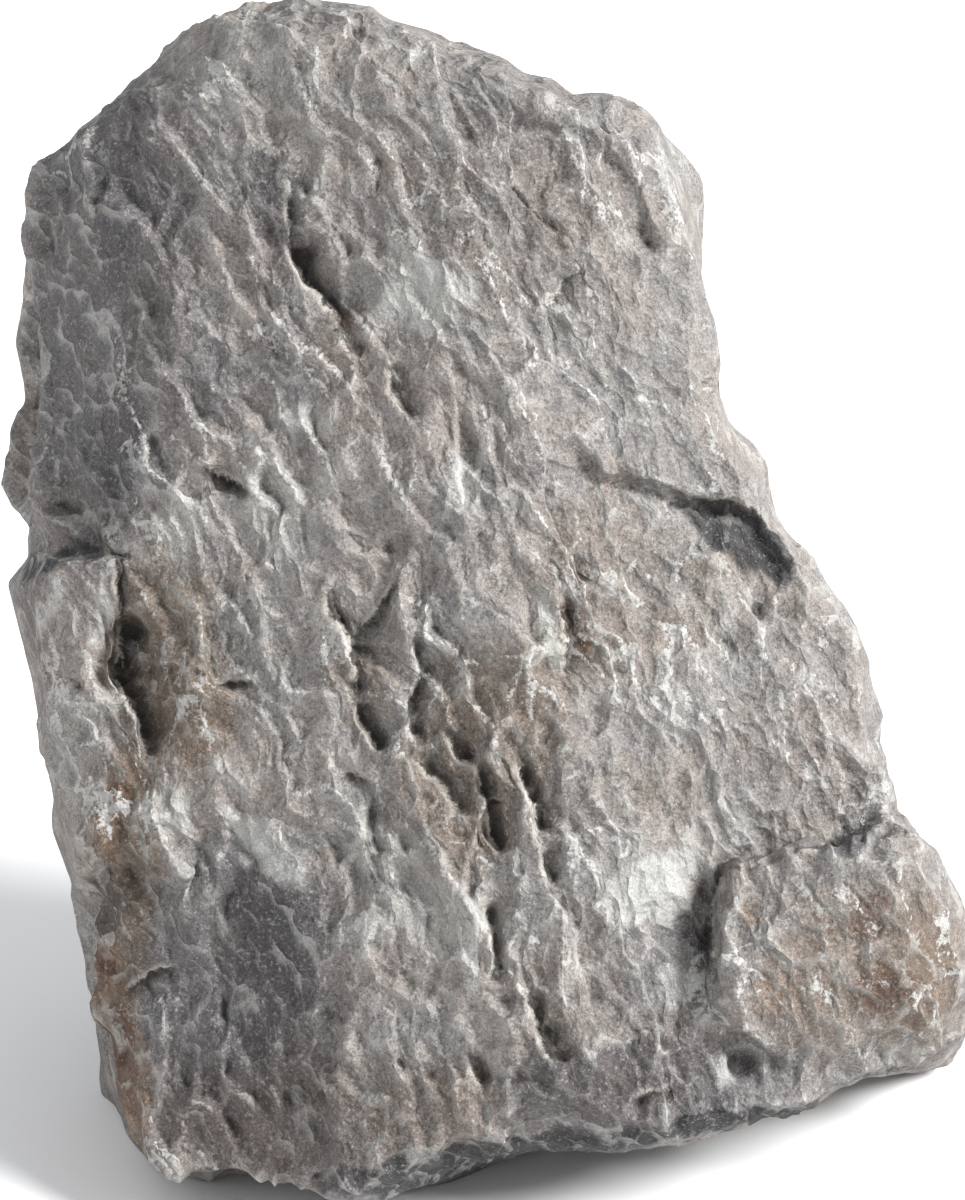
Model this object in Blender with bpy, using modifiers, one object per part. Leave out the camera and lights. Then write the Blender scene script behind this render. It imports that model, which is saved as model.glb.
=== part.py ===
"""Rough rock: a weathered limestone boulder that stands on its flat bedding base.

The form is worked out in millimetres on the plane of the rock's broad face: u runs to the right across it,
v up it and w out of it. The face leans back by LEAN. The finished mesh is in metres, +Z up, base on Z = 0.
"""

import math

import bmesh
import bpy
import numpy as np

NAME = "rough_rock"
MM = 0.001

# ---- driving dimensions, mm -------------------------------------------------------------------
LEAN = math.radians(20)  # the broad face leans back from upright
FRONT_DEPTH = 108  # from the rim's level out to the face
BACK_DEPTH = 158  # from the rim's level to the back, at the thick foot
RIM_BACK = 42  # the rim lies this far back at the two sides
TAPER = 1 / 1400  # the sides draw in towards the face, mm per mm
BASE_LEVEL = -216  # height of the bedding plane that the rock stands on
WALL = 1.4  # width of the steep side of a solution crack, in plan
SPHERE_STEPS = 8  # subdivisions of the sphere that is pressed into the form
VOXEL = 3.4  # grain of the remesh
TRIANGLES = 9600

# ---- outline of the broad face, (u, v), clockwise from the crown --------------------------------
OUTLINE = [
    (-67, 239), (-43, 238), (-38, 233), (-22, 227), (-12, 221), (8, 217), (18, 210), (28, 208),
    (37, 201), (49, 200), (62, 195), (68, 187), (80, 162), (87, 144), (90, 114), (89, 102),
    (92, 80), (98, 66), (109, 50), (113, 39), (124, 20), (131, 15), (140, -2), (149, -14),
    (154, -24), (156, -58), (163, -74), (163, -86), (178, -97), (183, -101), (185, -114),
    (193, -142), (193, -160), (190, -172), (184, -182), (174, -187), (156, -191), (133, -200),
    (120, -205), (90, -211), (48, -216), (28, -218), (10, -224), (-12, -233), (-40, -239),
    (-58, -239), (-76, -233), (-99, -230), (-108, -233), (-131, -227), (-142, -214), (-150, -182),
    (-157, -154), (-164, -120), (-165, -104), (-168, -80), (-174, -66), (-181, -32), (-184, -22),
    (-189, 7), (-181, 17), (-179, 30), (-187, 37), (-191, 46), (-187, 70), (-183, 80),
    (-185, 102), (-181, 120), (-179, 160), (-174, 172), (-160, 188), (-146, 200), (-133, 212),
    (-118, 226), (-102, 235), (-87, 236),
]

# ---- fracture faces, (u, v, w there, rise per mm across, rise per mm up) -------------------------
FRONT_FACES = [
    (30, -40, 88, 0.14, -0.03),  # wide middle
    (-16, 120, 83, -0.42, -0.10),  # right-hand side
    (-60, 212, 80, 0.10, -1.0),  # crown
    (40, 180, 62, -0.75, -0.65),  # right shoulder
    (-120, 200, 66, 0.8, -0.8),  # left shoulder
]
BACK_FACES = [
    (0, 0, 122, 0.02, -0.21),  # wide middle
    (-120, 20, 118, 0.70, -0.20),  # left quarter
    (105, 0, 92, -0.85, -0.28),  # right quarter
    (-30, 175, 72, 0.12, -0.95),  # crown
    (60, 120, 84, -0.55, -0.55),  # right shoulder
    (-60, -120, 140, 0.55, 0.35),  # chipped lower left
]
FLANK = (-130, 120, 74, 1.35, 0.0)  # steep left side above the left block
FLANK_FOOT = [(-215, 18), (-189, 17), (-172, 18), (-152, 16), (-145, 17), (-134, 13), (-120, 10)]

# ---- hollows and blocks broken out of the face ---------------------------------------------------
LOW_LEFT = [
    (-100, -88), (-92, -96), (-84, -108), (-66, -116), (-58, -136), (-54, -160), (-60, -190),
    (-64, -245), (-135, -245), (-122, -160), (-120, -120), (-112, -92),
]
LOW_LEFT_FACE = (-77, -124, 75, 0.66, 0.34)
STRIP_FACE = (-120, -140, 56, 0.22, 0.08)
BLOCK = [
    (100, -107), (112, -104), (128, -100), (138, -101), (148, -95), (164, -90), (182, -96),
    (215, -105), (215, -200), (150, -200), (112, -182), (102, -172), (95, -160), (93, -144),
    (96, -122),
]
BLOCK_FACES = [
    (100, -130, 77, -0.22, 0.03),  # front of the lower-right block
    (160, -166, 60, -0.5, 0.9),  # its underside
    (172, -118, 58, -1.0, 0.0),  # its right side
]
CHIPS = [  # outline, face, softness of the edge
    ([(8, 194), (44, 188), (50, 160), (42, 132), (32, 144), (12, 160)], (8, 175, 65, -0.40, -0.12), 3),
    ([(46, 184), (64, 168), (70, 140), (52, 132), (48, 158)], (48, 158, 50, -0.62, -0.10), 3),
    (
        [(82, 41), (108, 38), (118, 24), (129, 6), (118, 2), (111, -7), (107, 8), (103, 15), (88, 23)],
        (100, 34, 55, -0.45, 0.35),
        2,
    ),
    ([(-60, 9), (-33, 5), (-49, -17)], (-49, 9, 75, 0.14, 0.12), 2),
]

# ---- ledges: line, drop on its right-hand side, how far the drop reaches, width of its wall -------
LEDGES = [
    ([(36, 68), (42, 60), (48, 52), (56, 50), (64, 48), (84, 42), (108, 38), (118, 24), (128, 8)], 10, 46, 4),
    ([(8, -10), (3, 0), (-3, 16), (-6, 40), (-8, 60), (-10, 80), (-12, 98)], 4, 24, 6),
    ([(-70, 128), (-62, 119), (-52, 110)], 4, 12, 2),
    ([(-45, 18), (-30, 30), (-8, 34)], 3, 12, 3),
    ([(48, -212), (20, -196), (-4, -193), (-30, -192)], 4, 16, 3),
    ([(-130, 208), (-138, 180), (-137, 160), (-128, 140), (-126, 118), (-127, 108)], 3, 16, 4),
]
# ---- edges where the face breaks away to the side or the foot: line, fall in mm per mm ------------
BREAKS = [
    ([(110, -214), (88, -210), (56, -208), (32, -200), (8, -206), (4, -212), (-16, -218), (-52, -236)], 2.6),
    ([(-70, -245), (-128, -226), (-134, -205), (-139, -152), (-143, -138), (-151, -112), (-160, -90)], 2.4),
    ([(-160, -90), (-164, -60), (-171, -30), (-176, 0), (-176, 18)], 1.6),
]
# ---- solution cracks: line, width, depth (minus stands proud) -------------------------------------
# A steep wall drops along the line and the floor climbs back, over the width, on its left-hand side.
CRACKS = [
    ([(-149, 26), (-146, 8), (-143, -16), (-143, -30)], 15, 8),
    ([(-144, -4), (-144, -18), (-145, -27), (-141, -38), (-136, -48), (-135, -57), (-130, -64)], 26, 13),
    ([(-76, 172), (-76, 156), (-74, 140)], 9, 5),
    ([(-76, 146), (-72, 134), (-68, 126), (-60, 118), (-54, 108)], 24, 11),
    ([(-60, 114), (-55, 106), (-48, 96)], 12, 5),
    ([(-36, 98), (-36, 86), (-29, 76), (-24, 70)], 18, 5),
    ([(-43, 178), (-43, 160)], 6, 4),
    ([(-78, 178), (-84, 176), (-92, 180)], 14, 3),
    ([(-92, 152), (-84, 138)], 14, 3),
    ([(43, 133), (35, 128), (27, 112)], 8, 4),
    ([(42, 134), (36, 139), (29, 149), (15, 162), (8, 176)], 12, 3),
    ([(127, 10), (119, 26), (109, 36), (84, 41), (64, 49), (48, 55)], 14, 4),
    ([(-62, 8), (-61, -2), (-57, -10), (-49, -18)], 9, 7),
    ([(-33, 8), (-38, -2), (-48, -16)], 7, 6),
    ([(-51, -14), (-50, -26), (-49, -34), (-46, -40)], 15, 6),
    ([(-52, -33), (-49, -42)], 7, 4),
    ([(-49, -40), (-47, -48), (-44, -54), (-39, -61)], 14, 9),
    ([(-26, -8), (-25, -20), (-23, -32), (-28, -42), (-27, -52), (-24, -62)], 10, 6),
    ([(-29, -60), (-22, -66), (-14, -72), (-10, -80), (-5, -86)], 20, 6),
    ([(-14, -52), (-9, -59), (-7, -63), (0, -65)], 13, 6),
    ([(0, -62), (1, -72), (3, -84), (4, -92), (9, -101)], 12, 10),
    ([(17, -60), (18, -72), (22, -82), (24, -98)], 14, 9),
    ([(25, -99), (26, -107), (29, -113)], 10, 8),
    ([(25, -47), (26, -60)], 10, 3),
    ([(-44, -74), (-54, -68)], 8, 6),
    ([(-48, -73), (-43, -84), (-45, -97), (-42, -110), (-36, -119)], 6, 4),
    ([(4, -118), (5, -134), (6, -154)], 9, 6),
    ([(18, -154), (24, -172), (31, -188)], 12, 7),
    ([(-5, -180), (1, -195)], 12, 6),
    ([(-91, 42), (-102, 49), (-113, 54)], 10, 8),
    ([(-90, -34), (-109, -33)], 7, 6),
    ([(-118, -28), (-146, -26)], 6, 3),
    ([(33, 1), (34, -16), (33, -33)], 22, 6),
    ([(95, -156), (92, -140), (92, -122), (97, -104)], 30, 4),
    ([(80, -195), (60, -201)], 7, 5),
    ([(-155, 162), (-153, 152)], 9, 5),
    ([(-141, 195), (-140, 182)], 9, 5),
    ([(-131, 68), (-131, 51)], 9, 5),
    ([(-120, -147), (-131, -150), (-142, -156)], 10, 6),
    ([(86, -26), (93, -7), (84, 6)], 4, 3),
    ([(38, -121), (40, -144), (47, -166)], 16, 3),
    ([(59, -163), (73, -177), (86, -198)], 16, 3),
    ([(154, -94), (166, -114), (180, -146)], 14, 2),
    ([(-12, 108), (-10, 80), (-7, 60), (-7, 32)], 16, 3),
]
# ---- pits and swellings: u, v, half width, half height, turn in degrees, depth (minus swells) -----
PITS = [
    (104, -187, 8, 6, 10, 4),
    (-56, -152, 14, 12, 20, 3),
    (70, 0, 26, 12, 15, 3),
    (-72, 110, 9, 8, 0, -3),
    (60, -118, 34, 22, 35, -3),
    (77, -156, 16, 18, 0, 4),
    (-36, 4, 22, 30, 0, 3),
    (-20, -30, 26, 26, 0, 4),
    (14, -88, 26, 24, 0, 4),
    (-36, -132, 14, 16, -10, -4),
    (-126, 38, 10, 18, 0, -3),
    (-8, 128, 16, 26, 20, -3),
    (11, -73, 8, 24, 8, -4),
    (-65, 133, 5, 4, 0, -4),
    (-60, 125, 4, 6, 30, -3),
    (-42, -50, 5, 9, 0, -2),
]
# ---- where a young break or a scoop has stayed smooth: u, v, half width, half height, turn, how smooth --
SMOOTH = [
    (143, -142, 38, 34, 0, 0.75),  # front of the lower-right block
    (-83, -136, 20, 36, -14, 0.75),  # break at the lower left
    (72, 112, 40, 96, -12, 0.75),  # upper right of the face
    (-172, -8, 18, 34, 0, 0.6),  # left block
    (-54, -214, 44, 16, 6, 0.6),  # foot
    (77, -154, 12, 14, 0, 0.75),
    (66, -112, 24, 12, 35, 0.75),
    (104, 24, 24, 12, -35, 0.75),
    (88, -4, 22, 14, 20, 0.75),
    (40, -16, 8, 13, 4, 0.75),
    (-48, 1, 12, 9, 0, 0.75),
    (-52, 68, 13, 9, 0, 0.75),
    (-82, 168, 8, 8, 0, 0.75),
    (-160, 110, 16, 44, 0, 0.75),
]
# ---- rainwater runnels: cell width, cell length down the face, relief ------------------------------
RUNNELS = [(22, 42, 6.8), (13, 20, 4.6)]
TILT = np.array((0.5, 0.26, 0))  # each dish climbs to the right and upwards
UNEVEN = 0.7  # how much that differs from dish to dish
LIP = 2.6  # width of the steep lip between two dishes
# ---- fracture folds at the back and sides: direction, length, relief -------------------------------
FOLDS = [
    ((1, 0.3, 0.2), 118, 4.5),
    ((0.2, 1, -0.3), 96, 4.0),
    ((0.7, -0.7, 0.4), 74, 2.6),
    ((-0.5, -0.6, 0.9), 58, 1.8),
    ((0.3, 0.9, 0.8), 37, 1.2),
]


# ---- seeded noise ---------------------------------------------------------------------------------
def lattice(i, seed):
    """One repeatable random number from 0 to 1 for each whole-numbered point."""
    n = i[:, 0] * 374761393 + i[:, 1] * 668265263 + i[:, 2] * 2147483647 + seed * 974634777
    n = n & 0xFFFFFFFF
    n = ((n ^ (n >> 13)) * 1274126177) & 0xFFFFFFFF
    n = ((n ^ (n >> 16)) * 2246822519) & 0xFFFFFFFF
    return ((n ^ (n >> 15)) & 0xFFFFFF) / 0x1000000


def corners(low, high):
    return [(x, y, z) for x in range(low, high) for y in range(low, high) for z in range(low, high)]


def noise(p, seed):
    """Smooth gradient noise, about -1 to 1, that repeats for a seed."""
    cell = np.floor(p)
    f = p - cell
    cell = cell.astype(np.int64)
    fade = f * f * f * (f * (f * 6 - 15) + 10)
    total = np.zeros(len(p))
    for corner in corners(0, 2):
        at = cell + corner
        gradient = np.stack([lattice(at, seed + k) * 2 - 1 for k in (0, 101, 202)], 1)
        weight = np.where(corner, fade, 1 - fade).prod(axis=1)
        total += weight * (gradient * (f - corner)).sum(axis=1)
    return total * 1.6


def to_seed_point(p, seed):
    """From the nearest of the points scattered one to each unit cell: the distance, the way, how much farther
    off the second nearest is, and the nearest one's cell."""
    cell = np.floor(p).astype(np.int64)
    nearest = np.full(len(p), 9.0)
    second = np.full(len(p), 9.0)
    away = np.zeros_like(p)
    home = np.zeros_like(cell)
    for corner in corners(-1, 2):
        at = cell + corner
        way = p - at - np.stack([lattice(at, seed + k) for k in (0, 31, 62)], 1)
        distance = np.sqrt((way * way).sum(axis=1))
        near = distance < nearest
        second = np.where(near, nearest, np.minimum(second, distance))
        nearest[near], away[near], home[near] = distance[near], way[near], at[near]
    return nearest, away, second - nearest, home


# ---- small plane geometry -------------------------------------------------------------------------
def smoothstep(low, high, x):
    t = np.clip((x - low) / (high - low), 0, 1)
    return t * t * (3 - 2 * t)


def softmin(a, b, width):
    share = np.clip(0.5 + 0.5 * (b - a) / width, 0, 1)
    return b + (a - b) * share - width * share * (1 - share)


def plane(u, v, face):
    u0, v0, w0, across, up = face
    return w0 + across * (u - u0) + up * (v - v0)


def to_segment(u, v, a, b):
    du, dv = b[0] - a[0], b[1] - a[1]
    t = np.clip(((u - a[0]) * du + (v - a[1]) * dv) / (du * du + dv * dv), 0, 1)
    return np.hypot(u - a[0] - t * du, v - a[1] - t * dv), t


def to_line(u, v, line):
    """Distance to a line of points, the share of its length there, and whether it's passed on the right."""
    lengths = [math.dist(a, b) for a, b in zip(line, line[1:])]
    best = np.full(u.shape, 1e9)
    share = np.zeros(u.shape)
    right = np.zeros(u.shape, bool)
    before = 0
    for a, b, length in zip(line, line[1:], lengths):
        distance, t = to_segment(u, v, a, b)
        near = distance < best
        best = np.where(near, distance, best)
        share = np.where(near, (before + t * length) / sum(lengths), share)
        cross = (b[0] - a[0]) * (v - a[1]) - (b[1] - a[1]) * (u - a[0])
        right = np.where(near, cross < 0, right)
        before += length
    return best, share, right


def to_crack(u, v, line):
    """As to_line, with how open the crack is there, 0 to 1, in place of the share of its length."""
    distance, share, right = to_line(u, v, line)
    return distance, smoothstep(0, 0.2, share) * smoothstep(0, 0.2, 1 - share), right


def inside(u, v, polygon):
    """Distance to a polygon's edge, minus outside it."""
    best = np.full(u.shape, 1e9)
    odd = np.zeros(u.shape, bool)
    for a, b in zip(polygon, polygon[1:] + polygon[:1]):
        best = np.minimum(best, to_segment(u, v, a, b)[0])
        if a[1] != b[1]:
            crossing = a[0] + (v - a[1]) * (b[0] - a[0]) / (b[1] - a[1])
            odd ^= ((a[1] > v) != (b[1] > v)) & (u < crossing)
    return np.where(odd, best, -best)


def in_ellipse(u, v, spot):
    """1 at the middle of an ellipse, 0 at its edge, minus outside."""
    middle_u, middle_v, half_width, half_height, turn = spot
    c, s = math.cos(math.radians(turn)), math.sin(math.radians(turn))
    x = ((u - middle_u) * c + (v - middle_v) * s) / half_width
    y = ((v - middle_v) * c - (u - middle_u) * s) / half_height
    return 1 - x * x - y * y


# ---- the form -------------------------------------------------------------------------------------
def outline_radius(angle):
    """Distance from the middle of the face to its outline, in this direction."""
    ring = np.array(OUTLINE + OUTLINE[:1], float)
    steps = np.linspace(0, 1, 16, endpoint=False)[:, None]
    dense = np.concatenate([a + (b - a) * steps for a, b in zip(ring, ring[1:])])
    turn = np.arctan2(dense[:, 1], dense[:, 0])
    order = np.argsort(turn)
    return np.interp(angle, turn[order], np.hypot(*dense.T)[order], period=math.tau)


def rim_level(u):
    return -RIM_BACK * smoothstep(20, 170, np.abs(u))


def hollow(w, share, floor):
    """Cuts the surface down to a floor where share is 1."""
    return w + share * (np.minimum(w, floor) - w)


def wander(u, v):
    """Breaks straight edges up: each place is read from a little beside itself."""
    at = np.stack([u / 26, v / 26, np.zeros_like(u)], 1)
    across = 2.2 * noise(at, 5) + 1.3 * noise(at * 3.1, 6) + 0.9 * noise(at * 6.4, 9)
    up = 2.2 * noise(at + 40, 7) + 1.3 * noise(at * 3.1 + 40, 8) + 0.9 * noise(at * 6.4 + 40, 10)
    return u + across, v + up


def face_height(u, v):
    """How far the broad face stands out at (u, v)."""
    wide = np.stack([u / 70, v / 70, np.zeros_like(u)], 1)
    drift_u, drift_v = 6 * noise(wide, 11), 6 * noise(wide, 12)
    u, v = wander(u, v)
    w = np.full(u.shape, 200.0)
    for face in FRONT_FACES:
        w = softmin(w, plane(u + drift_u, v + drift_v, face), 8)
    foot = np.interp(u, *np.transpose(FLANK_FOOT))
    flank = plane(u, v, FLANK) + 5 * noise(wide * 2, 14)
    w += smoothstep(-2.5, 1.5, v - foot) * (softmin(w, flank, 14) - w)
    strip = plane(u, v, STRIP_FACE)
    low = np.maximum(plane(u, v, LOW_LEFT_FACE), strip)
    w = hollow(w, smoothstep(-3, 2, inside(u, v, LOW_LEFT)), low)
    below = smoothstep(-6, 6, -104 - v - 0.2 * (u + 150)) * smoothstep(-4, 4, -112 - u)
    w = hollow(w, below, strip)
    block = plane(u, v, BLOCK_FACES[0])
    for face in BLOCK_FACES[1:]:
        block = softmin(block, plane(u, v, face), 3)
    w += smoothstep(-2, 2, inside(u, v, BLOCK)) * (block - w)
    for polygon, face, soft in CHIPS:
        w = hollow(w, smoothstep(-soft / 2, soft, inside(u, v, polygon)), plane(u, v, face))
    for line, drop, reach, wall in LEDGES:
        distance, share, right = to_line(u, v, line)
        ends = smoothstep(0, 0.15, share) * smoothstep(0, 0.12, 1 - share)
        fall = np.clip(distance / wall, 0, 1) * np.clip(1 - distance / reach, 0, 1) ** 1.3
        w -= np.where(right, drop * ends * fall, 0)
    for line, slope in BREAKS:
        distance, _, right = to_line(u, v, line)
        w -= np.where(right, 0, slope * distance)
    for *spot, depth in PITS:
        w -= depth * np.clip(in_ellipse(u, v, spot), 0, 1)
    uneven = 1 + 0.3 * noise(np.stack([u / 5, v / 12, np.full(u.shape, 3.0)], 1), 17)
    for line, width, depth in CRACKS:
        distance, ends, right = to_crack(u, v, line)
        across = np.clip(1 - distance / np.where(right, WALL, width), 0, 1) ** np.where(right, 1, 1.7)
        w -= depth * ends * across * uneven
    return w


def back_depth(u, v):
    """How far the back lies behind the plane of the face's rim."""
    wide = np.stack([u / 80, v / 80, np.full(u.shape, 7.0)], 1)
    depth = np.full(u.shape, 300.0)
    for face in BACK_FACES:
        depth = softmin(depth, plane(u, v, face) + 8 * noise(wide, 15), 8)
    return depth


def press(sphere):
    """Moves the points of a unit sphere onto the rock's broad form, in (u, v, w)."""
    angle = np.arctan2(sphere[:, 1], sphere[:, 0])
    reach = np.hypot(sphere[:, 0], sphere[:, 1])
    radius = outline_radius(angle)
    u, v = reach * radius * np.cos(angle), reach * radius * np.sin(angle)
    rim = rim_level(u)
    power = 3.4 + 5 * np.exp(-(((np.degrees(angle) + 85) / 45) ** 2))  # squarer along the foot
    shell = np.clip(1 - reach**power, 0, 1) ** (1 / power)
    w_front = softmin(rim + (FRONT_DEPTH - rim) * shell, face_height(u, v), 8)
    w_front = np.maximum(w_front, rim)
    shell = np.clip(1 - reach**3, 0, 1) ** (1 / 3)
    w_back = -softmin(-rim + (BACK_DEPTH + rim) * shell, back_depth(u, v), 8)
    w_back = np.minimum(w_back, rim)
    return np.stack([u, v, np.where(sphere[:, 2] > 0, w_front, w_back)], 1)


def facets(p):
    """Flat fracture facets: folds in several directions, bent by noise, add up to broad flats and edges."""
    bent = p + 16 * np.stack([noise(p / 70, seed) for seed in (31, 32, 33)], 1)
    height = np.zeros(len(p))
    for direction, length, amount in FOLDS:
        along = bent @ (np.array(direction) / np.linalg.norm(direction)) / length
        height += amount * (4 * np.abs(along - np.floor(along) - 0.5) - 1)
    return height


def flow_of(p):
    """Places in mm with the direction that water takes across the face turned upright, and bent a little."""
    u, v, w = p.T
    lean = 0.14 * v + 0.13 * np.where(v > -100, (v + 100) ** 2 / 340, 0)
    bend = 7 * np.stack([noise(p / 34, seed) for seed in (21, 22, 23)], 1)
    bend += 2 * np.stack([noise(p / 11, seed) for seed in (24, 25, 26)], 1)
    return np.stack([u + lean, v, w], 1) + bend


def dishes(flow, size, seed):
    """One size of runnel: round-bottomed dishes that climb to a lip, with a tilt of its own for each."""
    across, along = size
    nearest, away, gap, home = to_seed_point(flow / (across, along, across * 1.5), seed)
    own = np.stack([lattice(home, seed + k) - 0.5 for k in (5, 6, 7)], 1)
    rise = (away * (TILT + UNEVEN * own)).sum(axis=1) * smoothstep(0, LIP / across, gap)
    return nearest.clip(0, 1.1) ** 2 - 0.35 + rise


def relief(p, normal):
    """Weathering across the whole surface: runnels down the face, broken facets at the back."""
    u, v, w = p.T
    flow = flow_of(p)
    height = np.zeros(len(p))
    for k, (across, along, amount) in enumerate(RUNNELS):
        patches = 0.45 + 0.85 * np.clip(0.5 + 0.8 * noise(p / 60 + 9 * k, 50 + k), 0, 1)
        height += amount * patches * dishes(flow, (across, along), 40 + k)
    for *spot, share in SMOOTH:
        height *= 1 - share * smoothstep(-0.3, 0.3, in_ellipse(u, v, spot))
    broken = facets(p)
    facing = smoothstep(-0.25, 0.45, normal[:, 2])
    at_rim = np.exp(-(((w - rim_level(u)) / 24) ** 2)) * smoothstep(0.8, 0.3, np.abs(normal[:, 2]))
    return (facing * height + (1 - facing) * (0.35 * height + 1.2 * broken)) * (1 - 0.7 * at_rim)


def stand(p):
    """(u, v, w) in millimetres on the leaning face to upright metres, base plane at Z = 0."""
    u, v, w = p.T
    narrowed = 1 - w * TAPER
    u, v = u * narrowed, v * narrowed
    y = v * math.sin(LEAN) - w * math.cos(LEAN)
    z = v * math.cos(LEAN) + w * math.sin(LEAN) - BASE_LEVEL
    return np.stack([u, y, z], 1) * MM


# ---- Blender meshes -------------------------------------------------------------------------------
def points_of(mesh, what="vertices", field="co"):
    flat = np.empty(len(getattr(mesh, what)) * 3, np.float32)
    getattr(mesh, what).foreach_get(field, flat)
    return flat.reshape(-1, 3).astype(float)


def averaged(mesh, values, rounds):
    """Values at the vertices, each averaged with its neighbours' this many times."""
    ends = np.empty(len(mesh.edges) * 2, np.int32)
    mesh.edges.foreach_get("vertices", ends)
    a, b = ends.reshape(-1, 2).T
    size = len(values)
    count = np.bincount(np.concatenate([a, b]), minlength=size)
    for _ in range(rounds):
        total = [np.bincount(a, column[b], size) + np.bincount(b, column[a], size) for column in values.T]
        values = 0.5 * values + 0.5 * np.stack(total, 1) / count[:, None]
    return values


def outwards(mesh, reach):
    """Unit normals of the surface as it would be with detail smaller than this smoothed away."""
    normal = averaged(mesh, points_of(mesh, "vertex_normals", "vector"), round((reach / VOXEL) ** 2))
    return normal / np.linalg.norm(normal, axis=1)[:, None]


def move_points(mesh, points):
    mesh.vertices.foreach_set("co", points.astype(np.float32).ravel())
    mesh.update()


def apply_modifiers(obj):
    """The object's mesh with its modifiers made part of it."""
    graph = bpy.context.evaluated_depsgraph_get()
    made = bpy.data.meshes.new_from_object(obj.evaluated_get(graph))
    spent = obj.data
    obj.modifiers.clear()
    obj.data = made
    bpy.data.meshes.remove(spent)


def sphere_object():
    shape = bmesh.new()
    bmesh.ops.create_icosphere(shape, subdivisions=SPHERE_STEPS, radius=1)
    mesh = bpy.data.meshes.new(NAME)
    shape.to_mesh(mesh)
    shape.free()
    obj = bpy.data.objects.new(NAME, mesh)
    home = bpy.data.collections.new("rough rock")
    bpy.context.scene.collection.children.link(home)
    home.objects.link(obj)
    return obj


def remesh(obj, size):
    modifier = obj.modifiers.new("even grain", "REMESH")
    modifier.mode = "VOXEL"
    modifier.voxel_size = size
    apply_modifiers(obj)


def thin_out(obj, triangles):
    faces = sum(len(polygon.vertices) - 2 for polygon in obj.data.polygons)
    modifier = obj.modifiers.new("thin out", "DECIMATE")
    modifier.ratio = triangles / faces
    modifier.use_collapse_triangulate = True
    apply_modifiers(obj)


def drop_crumbs(shape):
    """Keeps the largest connected piece of the mesh."""
    left = set(shape.verts)
    pieces = []
    while left:
        reached = [left.pop()]
        for vertex in reached:
            for edge in vertex.link_edges:
                other = edge.other_vert(vertex)
                if other in left:
                    left.remove(other)
                    reached.append(other)
        pieces.append(reached)
    for piece in sorted(pieces, key=len)[:-1]:
        bmesh.ops.delete(shape, geom=piece, context="VERTS")


def cut_base(obj):
    """Cuts the rock flat at Z = 0, closes the cut and centres the rock's box over the origin.

    Returns how far it was moved, in metres."""
    shape = bmesh.new()
    shape.from_mesh(obj.data)
    everything = shape.verts[:] + shape.edges[:] + shape.faces[:]
    bmesh.ops.bisect_plane(
        shape, geom=everything, dist=0.0001, plane_co=(0, 0, 0), plane_no=(0, 0, 1), clear_inner=True
    )
    drop_crumbs(shape)
    rim = [edge for edge in shape.edges if edge.is_boundary]
    for vertex in {vertex for edge in rim for vertex in edge.verts}:
        vertex.co.z = 0
    bmesh.ops.holes_fill(shape, edges=rim, sides=0)
    bmesh.ops.recalc_face_normals(shape, faces=shape.faces)
    places = np.array([vertex.co for vertex in shape.verts])
    centre = (places.min(axis=0) + places.max(axis=0)) / 2 * (1, 1, 0)
    bmesh.ops.translate(shape, verts=shape.verts, vec=-centre)
    shape.to_mesh(obj.data)
    shape.free()
    return centre


def limestone():
    material = bpy.data.materials.new("weathered grey limestone")
    material.use_nodes = True
    shader = material.node_tree.nodes["Principled BSDF"]
    shader.inputs["Base Color"].default_value = (0.27, 0.26, 0.245, 1)
    shader.inputs["Roughness"].default_value = 0.9
    shader.inputs["Metallic"].default_value = 0
    shader.inputs["IOR"].default_value = 1.5
    return material


def rough_rock():
    obj = sphere_object()
    body = press(points_of(obj.data))
    floor = BASE_LEVEL - 4  # a little below the base plane, so that the cut leaves one flat face
    low = body[:, 1] * math.cos(LEAN) + body[:, 2] * math.sin(LEAN) < floor
    body[low, 1] = (floor - body[low, 2] * math.sin(LEAN)) / math.cos(LEAN)
    move_points(obj.data, body)
    remesh(obj, VOXEL)
    body = points_of(obj.data)
    normal = outwards(obj.data, 9)
    height = body[:, 1] * math.cos(LEAN) + body[:, 2] * math.sin(LEAN) - BASE_LEVEL
    amount = relief(body, normal) * smoothstep(0, 12, height)
    body += normal * amount[:, None]
    move_points(obj.data, stand(body))
    thin_out(obj, TRIANGLES)
    cut_base(obj)
    obj.data.materials.append(limestone())
    return obj


for old in list(bpy.data.objects):
    bpy.data.objects.remove(old, do_unlink=True)
rock = rough_rock()
print(NAME, len(rock.data.polygons), "faces", [round(side, 4) for side in rock.dimensions])
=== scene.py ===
# %% [markdown]
# # A rough limestone boulder
#
# The rock is one piece of grey limestone, about 45 cm high, that split from its bed along flat fractures and
# then stood in the rain. So it has two scales of form: broad broken faces, ledges and blocks, which the CAD
# solid carries too, and the runnels, scallops, pits and lime crust of weathering, which are made here.
#
# The way used here is to work on the plane of the broad face, in millimetres: u to the right across it, v up
# it, w out of it. A sphere is pressed into the form, remeshed so that its grain is even, weathered along its
# normals, stood up and cut flat at the base. The other way would be to sculpt it or to displace a box in the
# shader. A formula wins because the same few named faces and cracks make both the CAD solid and this mesh, so
# the two agree.

# %%
import math

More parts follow.
